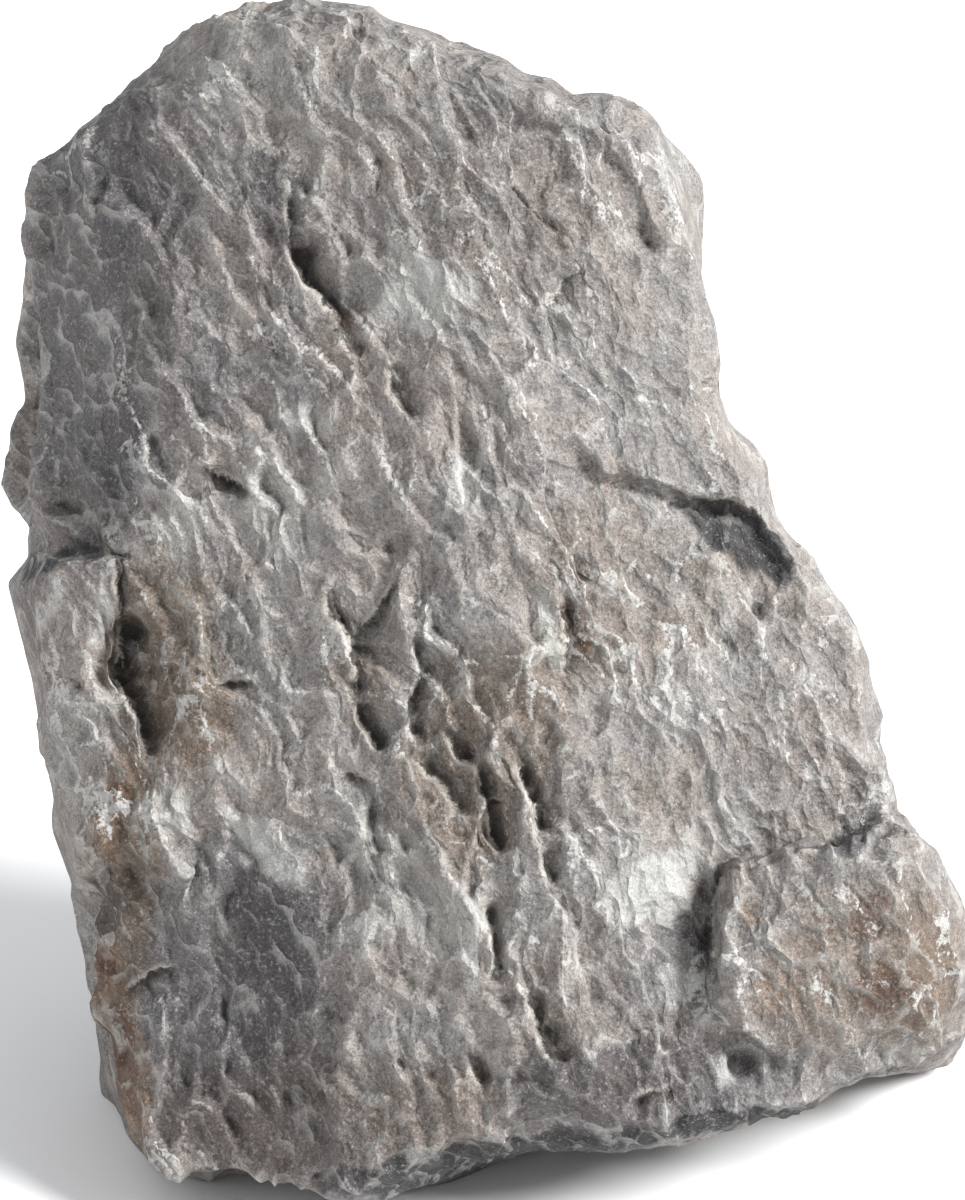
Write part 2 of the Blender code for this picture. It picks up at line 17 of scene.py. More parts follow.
import bmesh
import bpy
import numpy as np
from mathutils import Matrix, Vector


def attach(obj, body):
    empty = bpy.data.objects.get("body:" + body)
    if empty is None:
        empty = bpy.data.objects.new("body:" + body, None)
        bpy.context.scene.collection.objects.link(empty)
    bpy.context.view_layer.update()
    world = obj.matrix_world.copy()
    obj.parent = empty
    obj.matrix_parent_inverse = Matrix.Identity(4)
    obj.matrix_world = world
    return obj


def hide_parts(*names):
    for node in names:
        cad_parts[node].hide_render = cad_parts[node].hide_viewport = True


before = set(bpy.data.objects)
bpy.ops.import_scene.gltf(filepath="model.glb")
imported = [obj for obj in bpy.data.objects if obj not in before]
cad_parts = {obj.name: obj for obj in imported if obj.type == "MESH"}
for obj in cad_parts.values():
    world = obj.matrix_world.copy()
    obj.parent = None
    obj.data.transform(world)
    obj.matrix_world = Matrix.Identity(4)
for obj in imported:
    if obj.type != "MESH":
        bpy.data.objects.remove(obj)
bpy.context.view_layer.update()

NAME = "rough_rock"
MM = 0.001
LEAN = math.radians(20)  # the broad face leans back from upright
FRONT_DEPTH = 108  # from the rim's level out to the face
BACK_DEPTH = 158  # from the rim's level to the back, at the thick foot
RIM_BACK = 42  # the rim lies this far back at the two sides
VIEW_DISTANCE = 1400  # from the rim's plane to the eye
TAPER = 1 / VIEW_DISTANCE  # the sides draw in towards the face, mm per mm
BASE_LEVEL = -216  # height of the bedding plane that the rock stands on
ROUNDING = 8  # width over which one fracture face passes into the next
WALL = 1.4  # width of the steep side of a solution crack, in plan
SPHERE_STEPS = 9
VOXEL = 1.55  # grain of the even mesh
TRIANGLES = 196000

# %% [markdown]
# ## What is where on the rock
#
# The broad form is a few lists: the outline of the broad face, the fracture planes that bound it, the blocks
# and chips broken out of it, the ledges, and the cracks and pits that water has opened. A plane is enough for
# a fracture, a line of points for a ledge or a crack. They are the CAD model's own values.

# %%
# ---- outline of the broad face, (u, v), clockwise from the crown --------------------------------
OUTLINE = [
    (-67, 239), (-43, 238), (-38, 233), (-22, 227), (-12, 221), (8, 217), (18, 210), (28, 208),
    (37, 201), (49, 200), (62, 195), (68, 187), (80, 162), (87, 144), (90, 114), (89, 102),
    (92, 80), (98, 66), (109, 50), (113, 39), (124, 20), (131, 15), (140, -2), (149, -14),
    (154, -24), (156, -58), (163, -74), (163, -86), (178, -97), (183, -101), (185, -114),
    (193, -142), (193, -160), (190, -172), (184, -182), (174, -187), (156, -191), (133, -200),
    (120, -205), (90, -211), (48, -216), (28, -218), (10, -224), (-12, -233), (-40, -239),
    (-58, -239), (-76, -233), (-99, -230), (-108, -233), (-131, -227), (-142, -214), (-150, -182),
    (-157, -154), (-164, -120), (-165, -104), (-168, -80), (-174, -66), (-181, -32), (-184, -22),
    (-189, 7), (-181, 17), (-179, 30), (-187, 37), (-191, 46), (-187, 70), (-183, 80),
    (-185, 102), (-181, 120), (-179, 160), (-174, 172), (-160, 188), (-146, 200), (-133, 212),
    (-118, 226), (-102, 235), (-87, 236),
]

# ---- fracture faces, (u, v, w there, rise per mm across, rise per mm up) -------------------------
FRONT_FACES = [
    (30, -40, 88, 0.14, -0.03),  # wide middle
    (-16, 120, 83, -0.42, -0.10),  # right-hand side
    (-60, 212, 80, 0.10, -1.0),  # crown
    (40, 180, 62, -0.75, -0.65),  # right shoulder
    (-120, 200, 66, 0.8, -0.8),  # left shoulder
]
BACK_FACES = [
    (0, 0, 122, 0.02, -0.21),  # wide middle
    (-120, 20, 118, 0.70, -0.20),  # left quarter
    (105, 0, 92, -0.85, -0.28),  # right quarter
    (-30, 175, 72, 0.12, -0.95),  # crown
    (60, 120, 84, -0.55, -0.55),  # right shoulder
    (-60, -120, 140, 0.55, 0.35),  # chipped lower left
]
FLANK = (-130, 120, 74, 1.35, 0.0)  # steep left side above the left block
FLANK_FOOT = [(-215, 18), (-189, 17), (-172, 18), (-152, 16), (-145, 17), (-134, 13), (-120, 10)]

# ---- hollows and blocks broken out of the face ---------------------------------------------------
LOW_LEFT = [
    (-100, -88), (-92, -96), (-84, -108), (-66, -116), (-58, -136), (-54, -160), (-60, -190),
    (-64, -245), (-135, -245), (-122, -160), (-120, -120), (-112, -92),
]
LOW_LEFT_FACE = (-77, -124, 75, 0.66, 0.34)
STRIP_FACE = (-120, -140, 56, 0.22, 0.08)
BLOCK = [
    (100, -107), (112, -104), (128, -100), (138, -101), (148, -95), (164, -90), (182, -96),
    (215, -105), (215, -200), (150, -200), (112, -182), (102, -172), (95, -160), (93, -144),
    (96, -122),
]
BLOCK_FACES = [
    (100, -130, 77, -0.22, 0.03),  # front of the lower-right block
    (160, -166, 60, -0.5, 0.9),  # its underside
    (172, -118, 58, -1.0, 0.0),  # its right side
]
CHIPS = [  # outline, face, softness of the edge
    ([(8, 194), (44, 188), (50, 160), (42, 132), (32, 144), (12, 160)], (8, 175, 65, -0.40, -0.12), 3),
    ([(46, 184), (64, 168), (70, 140), (52, 132), (48, 158)], (48, 158, 50, -0.62, -0.10), 3),
    (
        [(82, 41), (108, 38), (118, 24), (129, 6), (118, 2), (111, -7), (107, 8), (103, 15), (88, 23)],
        (100, 34, 55, -0.45, 0.35),
        2,
    ),
    ([(-60, 9), (-33, 5), (-49, -17)], (-49, 9, 75, 0.14, 0.12), 2),
]

# ---- ledges: line, drop on its right-hand side, how far the drop reaches, width of its wall -------
LEDGES = [
    ([(36, 68), (42, 60), (48, 52), (56, 50), (64, 48), (84, 42), (108, 38), (118, 24), (128, 8)], 10, 46, 4),
    ([(8, -10), (3, 0), (-3, 16), (-6, 40), (-8, 60), (-10, 80), (-12, 98)], 4, 24, 6),
    ([(-70, 128), (-62, 119), (-52, 110)], 4, 12, 2),
    ([(-45, 18), (-30, 30), (-8, 34)], 3, 12, 3),
    ([(48, -212), (20, -196), (-4, -193), (-30, -192)], 4, 16, 3),
    ([(-130, 208), (-138, 180), (-137, 160), (-128, 140), (-126, 118), (-127, 108)], 3, 16, 4),
]
# ---- edges where the face breaks away to the side or the foot: line, fall in mm per mm ------------
BREAKS = [
    ([(110, -214), (88, -210), (56, -208), (32, -200), (8, -206), (4, -212), (-16, -218), (-52, -236)], 2.6),
    ([(-70, -245), (-128, -226), (-134, -205), (-139, -152), (-143, -138), (-151, -112), (-160, -90)], 2.4),
    ([(-160, -90), (-164, -60), (-171, -30), (-176, 0), (-176, 18)], 1.6),
]
# ---- solution cracks: line, width, depth (minus stands proud) -------------------------------------
# A steep wall drops along the line and the floor climbs back, over the width, on its left-hand side.
CRACKS = [
    ([(-149, 26), (-146, 8), (-143, -16), (-143, -30)], 15, 8),
    ([(-144, -4), (-144, -18), (-145, -27), (-141, -38), (-136, -48), (-135, -57), (-130, -64)], 26, 13),
    ([(-76, 172), (-76, 156), (-74, 140)], 9, 5),
    ([(-76, 146), (-72, 134), (-68, 126), (-60, 118), (-54, 108)], 24, 11),
    ([(-60, 114), (-55, 106), (-48, 96)], 12, 5),
    ([(-36, 98), (-36, 86), (-29, 76), (-24, 70)], 18, 5),
    ([(-43, 178), (-43, 160)], 6, 4),
    ([(-78, 178), (-84, 176), (-92, 180)], 14, 3),
    ([(-92, 152), (-84, 138)], 14, 3),
    ([(43, 133), (35, 128), (27, 112)], 8, 4),
    ([(42, 134), (36, 139), (29, 149), (15, 162), (8, 176)], 12, 3),
    ([(127, 10), (119, 26), (109, 36), (84, 41), (64, 49), (48, 55)], 14, 4),
    ([(-62, 8), (-61, -2), (-57, -10), (-49, -18)], 9, 7),
    ([(-33, 8), (-38, -2), (-48, -16)], 7, 6),
    ([(-51, -14), (-50, -26), (-49, -34), (-46, -40)], 15, 6),
    ([(-52, -33), (-49, -42)], 7, 4),
    ([(-49, -40), (-47, -48), (-44, -54), (-39, -61)], 14, 9),
    ([(-26, -8), (-25, -20), (-23, -32), (-28, -42), (-27, -52), (-24, -62)], 10, 6),
    ([(-29, -60), (-22, -66), (-14, -72), (-10, -80), (-5, -86)], 20, 6),
    ([(-14, -52), (-9, -59), (-7, -63), (0, -65)], 13, 6),
    ([(0, -62), (1, -72), (3, -84), (4, -92), (9, -101)], 12, 10),
    ([(17, -60), (18, -72), (22, -82), (24, -98)], 14, 9),
    ([(25, -99), (26, -107), (29, -113)], 10, 8),
    ([(25, -47), (26, -60)], 10, 3),
    ([(-44, -74), (-54, -68)], 8, 6),
    ([(-48, -73), (-43, -84), (-45, -97), (-42, -110), (-36, -119)], 6, 4),
    ([(4, -118), (5, -134), (6, -154)], 9, 6),
    ([(18, -154), (24, -172), (31, -188)], 12, 7),
    ([(-5, -180), (1, -195)], 12, 6),
    ([(-91, 42), (-102, 49), (-113, 54)], 10, 8),
    ([(-90, -34), (-109, -33)], 7, 6),
    ([(-118, -28), (-146, -26)], 6, 3),
    ([(33, 1), (34, -16), (33, -33)], 22, 6),
    ([(95, -156), (92, -140), (92, -122), (97, -104)], 30, 4),
    ([(80, -195), (60, -201)], 7, 5),
    ([(-155, 162), (-153, 152)], 9, 5),
    ([(-141, 195), (-140, 182)], 9, 5),
    ([(-131, 68), (-131, 51)], 9, 5),
    ([(-120, -147), (-131, -150), (-142, -156)], 10, 6),
    ([(86, -26), (93, -7), (84, 6)], 4, 3),
    ([(38, -121), (40, -144), (47, -166)], 16, 3),
    ([(59, -163), (73, -177), (86, -198)], 16, 3),
    ([(154, -94), (166, -114), (180, -146)], 14, 2),
    ([(-12, 108), (-10, 80), (-7, 60), (-7, 32)], 16, 3),
]
# ---- pits and swellings: u, v, half width, half height, turn in degrees, depth (minus swells) -----
PITS = [
    (104, -187, 8, 6, 10, 4),
    (-56, -152, 14, 12, 20, 3),
    (70, 0, 26, 12, 15, 3),
    (-72, 110, 9, 8, 0, -3),
    (60, -118, 34, 22, 35, -3),
    (77, -156, 16, 18, 0, 4),
    (-36, 4, 22, 30, 0, 3),
    (-20, -30, 26, 26, 0, 4),
    (14, -88, 26, 24, 0, 4),
    (-36, -132, 14, 16, -10, -4),
    (-126, 38, 10, 18, 0, -3),
    (-8, 128, 16, 26, 20, -3),
    (11, -73, 8, 24, 8, -4),
    (-65, 133, 5, 4, 0, -4),
    (-60, 125, 4, 6, 30, -3),
    (-42, -50, 5, 9, 0, -2),
]
# ---- where a young break or a scoop has stayed smooth: u, v, half width, half height, turn, how smooth --
SMOOTH = [
    (143, -142, 38, 34, 0, 0.75),  # front of the lower-right block
    (-83, -136, 20, 36, -14, 0.75),  # break at the lower left
    (72, 112, 40, 96, -12, 0.75),  # upper right of the face
    (-172, -8, 18, 34, 0, 0.6),  # left block
    (-54, -214, 44, 16, 6, 0.6),  # foot
    (77, -154, 12, 14, 0, 0.75),  # small scoops
    (66, -112, 24, 12, 35, 0.75),
    (104, 24, 24, 12, -35, 0.75),
    (88, -4, 22, 14, 20, 0.75),
    (40, -16, 8, 13, 4, 0.75),
    (-48, 1, 12, 9, 0, 0.75),
    (-52, 68, 13, 9, 0, 0.75),
    (-82, 168, 8, 8, 0, 0.75),
    (-160, 110, 16, 44, 0, 0.75),  # upper left flank
]
print("features:", len(LEDGES), "ledges,", len(CRACKS), "cracks,", len(PITS), "pits and swellings")

# %% [markdown]
# ## Noise that repeats
#
# Weathering needs two kinds of randomness. Gradient noise bends and mottles. The distance to scattered points
# makes scallops: squared, it is a round-bottomed dish in each cell with a sharp crest where two dishes meet,
# which is just what solution leaves on limestone. Both are worked out from whole numbers, so that every run
# gives the same rock.

# %%
# ---- seeded noise ---------------------------------------------------------------------------------
def lattice(i, seed):
    """One repeatable random number from 0 to 1 for each whole-numbered point."""
    n = i[:, 0] * 374761393 + i[:, 1] * 668265263 + i[:, 2] * 2147483647 + seed * 974634777
    n = n & 0xFFFFFFFF
    n = ((n ^ (n >> 13)) * 1274126177) & 0xFFFFFFFF
    n = ((n ^ (n >> 16)) * 2246822519) & 0xFFFFFFFF
    return ((n ^ (n >> 15)) & 0xFFFFFF) / 0x1000000


def corners(low, high):
    """The whole-numbered corners of a block of cells."""
    return [(x, y, z) for x in range(low, high) for y in range(low, high) for z in range(low, high)]


def noise(p, seed):
    """Smooth gradient noise, about -1 to 1, that repeats for a seed."""
    cell = np.floor(p)
    f = p - cell
    cell = cell.astype(np.int64)
    fade = f * f * f * (f * (f * 6 - 15) + 10)
    total = np.zeros(len(p))
    for corner in corners(0, 2):
        at = cell + corner
        gradient = np.stack([lattice(at, seed + k) * 2 - 1 for k in (0, 101, 202)], 1)
        weight = np.where(corner, fade, 1 - fade).prod(axis=1)
        total += weight * (gradient * (f - corner)).sum(axis=1)
    return total * 1.6


def to_seed_point(p, seed):
    """From the nearest of the points scattered one to each unit cell: the distance, the way, how much farther
    off the second nearest is, and the nearest one's cell."""
    cell = np.floor(p).astype(np.int64)
    nearest = np.full(len(p), 9.0)
    second = np.full(len(p), 9.0)
    away = np.zeros_like(p)
    home = np.zeros_like(cell)
    for corner in corners(-1, 2):
        at = cell + corner
        way = p - at - np.stack([lattice(at, seed + k) for k in (0, 31, 62)], 1)
        distance = np.sqrt((way * way).sum(axis=1))
        near = distance < nearest
        second = np.where(near, nearest, np.minimum(second, distance))
        nearest[near], away[near], home[near] = distance[near], way[near], at[near]
    return nearest, away, second - nearest, home


sample = noise(np.arange(3000).reshape(-1, 3) / 7, 1)
print("noise from", round(sample.min(), 2), "to", round(sample.max(), 2))

# %% [markdown]
# ## Distances on the plane
#
# Every feature is given by a line, a polygon or an ellipse, so its shape follows from how far off that is.
# The distance to a line of points also says on which side it's passed, which is what makes a ledge drop on
# one side alone and gives a crack its wall and its floor.

# %%
FAR_OFF = 1e9  # farther than anything here


def smoothstep(low, high, x):
    """0 up to low, 1 from high on, and a smooth climb between."""
    t = np.clip((x - low) / (high - low), 0, 1)
    return t * t * (3 - 2 * t)


def softmin(a, b, width):
    """The smaller of two heights, rounded where they are closer than this width."""
    share = np.clip(0.5 + 0.5 * (b - a) / width, 0, 1)
    return b + (a - b) * share - width * share * (1 - share)


def plane(u, v, face):
    """Height of a fracture face, which runs on over the whole plane."""
    u0, v0, w0, across, up = face
    return w0 + across * (u - u0) + up * (v - v0)


def to_segment(u, v, a, b):
    """Distance to a straight piece from a to b, and the share of its length where it's nearest."""
    du, dv = b[0] - a[0], b[1] - a[1]
    t = np.clip(((u - a[0]) * du + (v - a[1]) * dv) / (du * du + dv * dv), 0, 1)
    return np.hypot(u - a[0] - t * du, v - a[1] - t * dv), t


def to_line(u, v, line):
    """Distance to a line of points, the share of its length there, and whether it's passed on the right."""
    lengths = [math.dist(a, b) for a, b in zip(line, line[1:])]
    best = np.full(u.shape, FAR_OFF)
    share = np.zeros(u.shape)
    right = np.zeros(u.shape, bool)
    before = 0
    for a, b, length in zip(line, line[1:], lengths):
        distance, t = to_segment(u, v, a, b)
        near = distance < best
        best = np.where(near, distance, best)
        share = np.where(near, (before + t * length) / sum(lengths), share)
        cross = (b[0] - a[0]) * (v - a[1]) - (b[1] - a[1]) * (u - a[0])
        right = np.where(near, cross < 0, right)
        before += length
    return best, share, right


def to_crack(u, v, line):
    """As to_line, with how open the crack is there, 0 to 1, in place of the share of its length."""
    distance, share, right = to_line(u, v, line)
    return distance, smoothstep(0, 0.2, share) * smoothstep(0, 0.2, 1 - share), right


def inside(u, v, polygon):
    """Distance to a polygon's edge, minus outside it."""
    best = np.full(u.shape, FAR_OFF)
    odd = np.zeros(u.shape, bool)
    for a, b in zip(polygon, polygon[1:] + polygon[:1]):
        best = np.minimum(best, to_segment(u, v, a, b)[0])
        if a[1] != b[1]:
            crossing = a[0] + (v - a[1]) * (b[0] - a[0]) / (b[1] - a[1])
            odd ^= ((a[1] > v) != (b[1] > v)) & (u < crossing)
    return np.where(odd, best, -best)


def in_ellipse(u, v, spot):
    """1 at the middle of an ellipse, 0 at its edge, minus outside."""
    middle_u, middle_v, half_width, half_height, turn = spot
    c, s = math.cos(math.radians(turn)), math.sin(math.radians(turn))
    x = ((u - middle_u) * c + (v - middle_v) * s) / half_width
    y = ((v - middle_v) * c - (u - middle_u) * s) / half_height
    return 1 - x * x - y * y


size = [max(way) - min(way) for way in zip(*OUTLINE)]
print("face:", *size, "mm")

# %% [markdown]
# ## The broad form
#
# Each feature takes its turn on one height, w: fracture planes first, each joined to the last with a slightly
# rounded edge, then what broke away, then the ledges and cracks. Every place is read from a little beside
# itself, so straight input lines come out ragged.

# %%
WANDER_SIZE = 26  # mm from one wave of a ragged edge to the next, at its coarsest
WANDER = [(1, 2.2, 5, 7), (3.1, 1.3, 6, 8), (6.4, 0.9, 9, 10)]  # times finer, how far in mm, two seeds
BEND_SIZE, BEND = 70, 6  # waves that keep a fracture face from being a dead flat plane, mm
BACK_BEND_SIZE, BACK_BEND = 80, 8  # the same at the back
HIGH, DEEP = 200.0, 300.0  # beyond every fracture face


def outline_radius(angle):
    """Distance from the middle of the face to its outline, in this direction."""
    ring = np.array(OUTLINE + OUTLINE[:1], float)
    steps = np.linspace(0, 1, 16, endpoint=False)[:, None]
    dense = np.concatenate([a + (b - a) * steps for a, b in zip(ring, ring[1:])])
    turn = np.arctan2(dense[:, 1], dense[:, 0])
    order = np.argsort(turn)
    return np.interp(angle, turn[order], np.hypot(*dense.T)[order], period=math.tau)


def rim_level(u):
    """Where the front passes into the back: further back towards the two sides."""
    return -RIM_BACK * smoothstep(20, 170, np.abs(u))


def hollow(w, share, floor):
    """Cuts the surface down to a floor where share is 1."""
    return w + share * (np.minimum(w, floor) - w)


def wander(u, v):
    """Breaks straight edges up: each place is read from a little beside itself."""
    at = np.stack([u / WANDER_SIZE, v / WANDER_SIZE, np.zeros_like(u)], 1)
    across = sum(far * noise(at * finer, seed) for finer, far, seed, _ in WANDER)
    up = sum(far * noise(at * finer + 40, seed) for finer, far, _, seed in WANDER)
    return u + across, v + up


def face_height(u, v):
    """How far the broad face stands out at (u, v)."""
    wide = np.stack([u / BEND_SIZE, v / BEND_SIZE, np.zeros_like(u)], 1)
    drift_u, drift_v = BEND * noise(wide, 11), BEND * noise(wide, 12)
    u, v = wander(u, v)
    w = np.full(u.shape, HIGH)
    for face in FRONT_FACES:
        w = softmin(w, plane(u + drift_u, v + drift_v, face), ROUNDING)
    foot = np.interp(u, *np.transpose(FLANK_FOOT))
    flank = plane(u, v, FLANK) + 5 * noise(wide * 2, 14)
    w += smoothstep(-2.5, 1.5, v - foot) * (softmin(w, flank, 14) - w)
    strip = plane(u, v, STRIP_FACE)
    low = np.maximum(plane(u, v, LOW_LEFT_FACE), strip)
    w = hollow(w, smoothstep(-3, 2, inside(u, v, LOW_LEFT)), low)
    # the corner between the lower-left break and the foot of the left block
    below = smoothstep(-6, 6, -104 - v - 0.2 * (u + 150)) * smoothstep(-4, 4, -112 - u)
    w = hollow(w, below, strip)
    block = plane(u, v, BLOCK_FACES[0])
    for face in BLOCK_FACES[1:]:
        block = softmin(block, plane(u, v, face), 3)
    w += smoothstep(-2, 2, inside(u, v, BLOCK)) * (block - w)
    for polygon, face, soft in CHIPS:
        w = hollow(w, smoothstep(-soft / 2, soft, inside(u, v, polygon)), plane(u, v, face))
    for line, drop, reach, wall in LEDGES:
        distance, share, right = to_line(u, v, line)
        ends = smoothstep(0, 0.15, share) * smoothstep(0, 0.12, 1 - share)
        fall = np.clip(distance / wall, 0, 1) * np.clip(1 - distance / reach, 0, 1) ** 1.3
        w -= np.where(right, drop * ends * fall, 0)
    for line, slope in BREAKS:
        distance, _, right = to_line(u, v, line)
        w -= np.where(right, 0, slope * distance)
    for *spot, depth in PITS:
        w -= depth * np.clip(in_ellipse(u, v, spot), 0, 1)
    uneven = 1 + 0.3 * noise(np.stack([u / 5, v / 12, np.full(u.shape, 3.0)], 1), 17)
    for line, width, depth in CRACKS:
        distance, ends, right = to_crack(u, v, line)
        across = np.clip(1 - distance / np.where(right, WALL, width), 0, 1) ** np.where(right, 1, 1.7)
        w -= depth * ends * across * uneven
    return w


def back_depth(u, v):
    """How far the back lies behind the plane of the face's rim."""
    wide = np.stack([u / BACK_BEND_SIZE, v / BACK_BEND_SIZE, np.full(u.shape, 7.0)], 1)
    depth = np.full(u.shape, DEEP)
    for face in BACK_FACES:
        depth = softmin(depth, plane(u, v, face) + BACK_BEND * noise(wide, 15), ROUNDING)
    return depth


def press(sphere):
    """Moves the points of a unit sphere onto the rock's broad form, in (u, v, w)."""
    angle = np.arctan2(sphere[:, 1], sphere[:, 0])
    reach = np.hypot(sphere[:, 0], sphere[:, 1])
    radius = outline_radius(angle)
    u, v = reach * radius * np.cos(angle), reach * radius * np.sin(angle)
    rim = rim_level(u)
    power = 3.4 + 5 * np.exp(-(((np.degrees(angle) + 85) / 45) ** 2))  # squarer along the foot
    shell = np.clip(1 - reach**power, 0, 1) ** (1 / power)
    w_front = softmin(rim + (FRONT_DEPTH - rim) * shell, face_height(u, v), ROUNDING)
    w_front = np.maximum(w_front, rim)
    shell = np.clip(1 - reach**3, 0, 1) ** (1 / 3)
    w_back = -softmin(-rim + (BACK_DEPTH + rim) * shell, back_depth(u, v), ROUNDING)
    w_back = np.minimum(w_back, rim)
    return np.stack([u, v, np.where(sphere[:, 2] > 0, w_front, w_back)], 1)


print("middle of the face, w in mm:", face_height(np.zeros(1), np.zeros(1)).round(1))

# %% [markdown]
# ## Weathering relief
#
# Rain runs down the broad face, so its dishes are stretched that way, in two sizes, 42 and 20 mm long.
# Each dish also climbs to the right, so it ends in a lip over the next one, like scales. The sheltered back
# keeps its fracture facets instead: triangle waves in several directions, bent by noise, add up to flats that
# meet in edges.

# %%
RUNNELS = [(22, 42, 6.8), (13, 20, 4.6)]  # width and length of a dish, and how much it counts, mm
TILT = np.array((0.5, 0.26, 0))  # each dish climbs to the right and upwards
UNEVEN = 0.7  # how much that differs from dish to dish
LIP = 2.6  # width of the steep lip between two dishes
FLOW_BENDS = [(34, 7, 21), (11, 2, 24)]  # waves that bend the flow: size, how far, first of three seeds
FOLDS = [  # of the back: direction, length of a fold, height in mm
    ((1, 0.3, 0.2), 118, 4.5),
    ((0.2, 1, -0.3), 96, 4.0),
    ((0.7, -0.7, 0.4), 74, 2.6),
    ((-0.5, -0.6, 0.9), 58, 1.8),
    ((0.3, 0.9, 0.8), 37, 1.2),
]


def facets(p):
    """Flat fracture facets: folds in several directions, bent by noise, add up to broad flats and edges."""
    bent = p + 16 * np.stack([noise(p / 70, seed) for seed in (31, 32, 33)], 1)
    height = np.zeros(len(p))
    for direction, length, amount in FOLDS:
        along = bent @ (np.array(direction) / np.linalg.norm(direction)) / length
        height += amount * (4 * np.abs(along - np.floor(along) - 0.5) - 1)
    return height


def flow_of(p):
    """Places in mm with the direction that water takes across the face turned upright, and bent a little."""
    u, v, w = p.T
    lean = 0.14 * v + 0.13 * np.where(v > -100, (v + 100) ** 2 / 340, 0)  # more and more towards the top
    bend = sum(
        far * np.stack([noise(p / size, seed + k) for k in range(3)], 1) for size, far, seed in FLOW_BENDS
    )
    return np.stack([u + lean, v, w], 1) + bend


def dishes(flow, size, seed):
    """One size of runnel: round-bottomed dishes, each with a tilt of its own, and how far off its lip is."""
    across, along = size
    nearest, away, gap, home = to_seed_point(flow / (across, along, across * 1.5), seed)
    own = np.stack([lattice(home, seed + k) - 0.5 for k in (5, 6, 7)], 1)
    rise = (away * (TILT + UNEVEN * own)).sum(axis=1)
    dish = nearest.clip(0, 1.1) ** 2 - 0.35 + rise * smoothstep(0, LIP / across, gap)
    return dish, across * gap + 9 * smoothstep(0.2, 0, rise)


def relief(p, normal):
    """Weathering across the whole surface, in mm. With it, for either size of dish, the distance to its lip,
    and how much crust there is on lips here."""
    u, v, w = p.T
    flow = flow_of(p)
    height, to_lips = np.zeros(len(p)), []
    for k, (across, along, amount) in enumerate(RUNNELS):
        strength = 0.45 + 0.85 * np.clip(0.5 + 0.8 * noise(p / 60 + 9 * k, 50 + k), 0, 1)
        dish, to_lip = dishes(flow, (across, along), 40 + k)
        height += amount * strength * dish
        to_lips.append(to_lip)
    for *spot, share in SMOOTH:
        height *= 1 - share * smoothstep(-0.3, 0.3, in_ellipse(u, v, spot))
    broken = facets(p)
    facing = smoothstep(-0.25, 0.45, normal[:, 2])
    at_rim = np.exp(-(((w - rim_level(u)) / 24) ** 2)) * smoothstep(0.8, 0.3, np.abs(normal[:, 2]))
    height = (facing * height + (1 - facing) * (0.35 * height + 1.2 * broken)) * (1 - 0.7 * at_rim)
    crust = (0.66 + 0.8 * noise(p / 38, 55)) * (0.35 + 0.65 * facing)
    return height, np.stack([*to_lips, crust], 1)


def stand(p):
    """(u, v, w) in millimetres on the leaning face to upright metres, base plane at Z = 0."""
    u, v, w = p.T
    narrowed = 1 - w * TAPER
    u, v = u * narrowed, v * narrowed
    y = v * math.sin(LEAN) - w * math.cos(LEAN)
    z = v * math.cos(LEAN) + w * math.sin(LEAN) - BASE_LEVEL
    return np.stack([u, y, z], 1) * MM


def lie(p):
    """Upright metres, before centring, back to (u, v, w): stand() turned round."""
    u, y, z = p.T / MM
    z = z + BASE_LEVEL
    v, w = y * math.sin(LEAN) + z * math.cos(LEAN), -y * math.cos(LEAN) + z * math.sin(LEAN)
    narrowed = 1 - w * TAPER
    return np.stack([u / narrowed, v / narrowed, w], 1)


print("sizes of dish:", *[f"{across} x {along} mm" for across, along, _ in RUNNELS])

# %% [markdown]
# ## The mesh
#
# The pressed sphere is uneven where walls are steep, so a voxel remesh evens its grain before the relief is
# laid on along the normals. A decimation then drops what flat places don't need.

# %%
PUSH_REACH = 9  # detail smaller than this doesn't turn the way in which the relief is laid on, mm
FOOT = 12  # the relief fades out over this height above the base, mm


def sphere_object():
    shape = bmesh.new()
    bmesh.ops.create_icosphere(shape, subdivisions=SPHERE_STEPS, radius=1)
    mesh = bpy.data.meshes.new("weathered_rock")
    shape.to_mesh(mesh)
    shape.free()
    obj = bpy.data.objects.new("weathered_rock", mesh)
    bpy.context.scene.collection.objects.link(obj)
    return obj


def points_of(mesh, what="vertices", field="co"):
    """A mesh's vertices, or another of its lists of vectors, as rows of an array."""
    flat = np.empty(len(getattr(mesh, what)) * 3, np.float32)
    getattr(mesh, what).foreach_get(field, flat)
    return flat.reshape(-1, 3).astype(float)


def averaged(mesh, values, rounds):
    """Values at the vertices, each averaged with its neighbours' this many times."""
    ends = np.empty(len(mesh.edges) * 2, np.int32)
    mesh.edges.foreach_get("vertices", ends)
    a, b = ends.reshape(-1, 2).T
    size = len(values)
    count = np.bincount(np.concatenate([a, b]), minlength=size)
    for _ in range(rounds):
        total = [np.bincount(a, column[b], size) + np.bincount(b, column[a], size) for column in values.T]
        values = 0.5 * values + 0.5 * np.stack(total, 1) / count[:, None]
    return values


def outwards(mesh, reach):
    """Unit normals of the surface as it would be with detail smaller than this smoothed away."""
    normal = averaged(mesh, points_of(mesh, "vertex_normals", "vector"), round((reach / VOXEL) ** 2))
    return normal / np.linalg.norm(normal, axis=1)[:, None]


def move_points(mesh, points):
    mesh.vertices.foreach_set("co", points.astype(np.float32).ravel())
    mesh.update()


def apply_modifiers(obj):
    """The object's mesh with its modifiers made part of it."""
    graph = bpy.context.evaluated_depsgraph_get()
    made = bpy.data.meshes.new_from_object(obj.evaluated_get(graph))
    spent = obj.data
    obj.modifiers.clear()
    obj.data = made
    bpy.data.meshes.remove(spent)


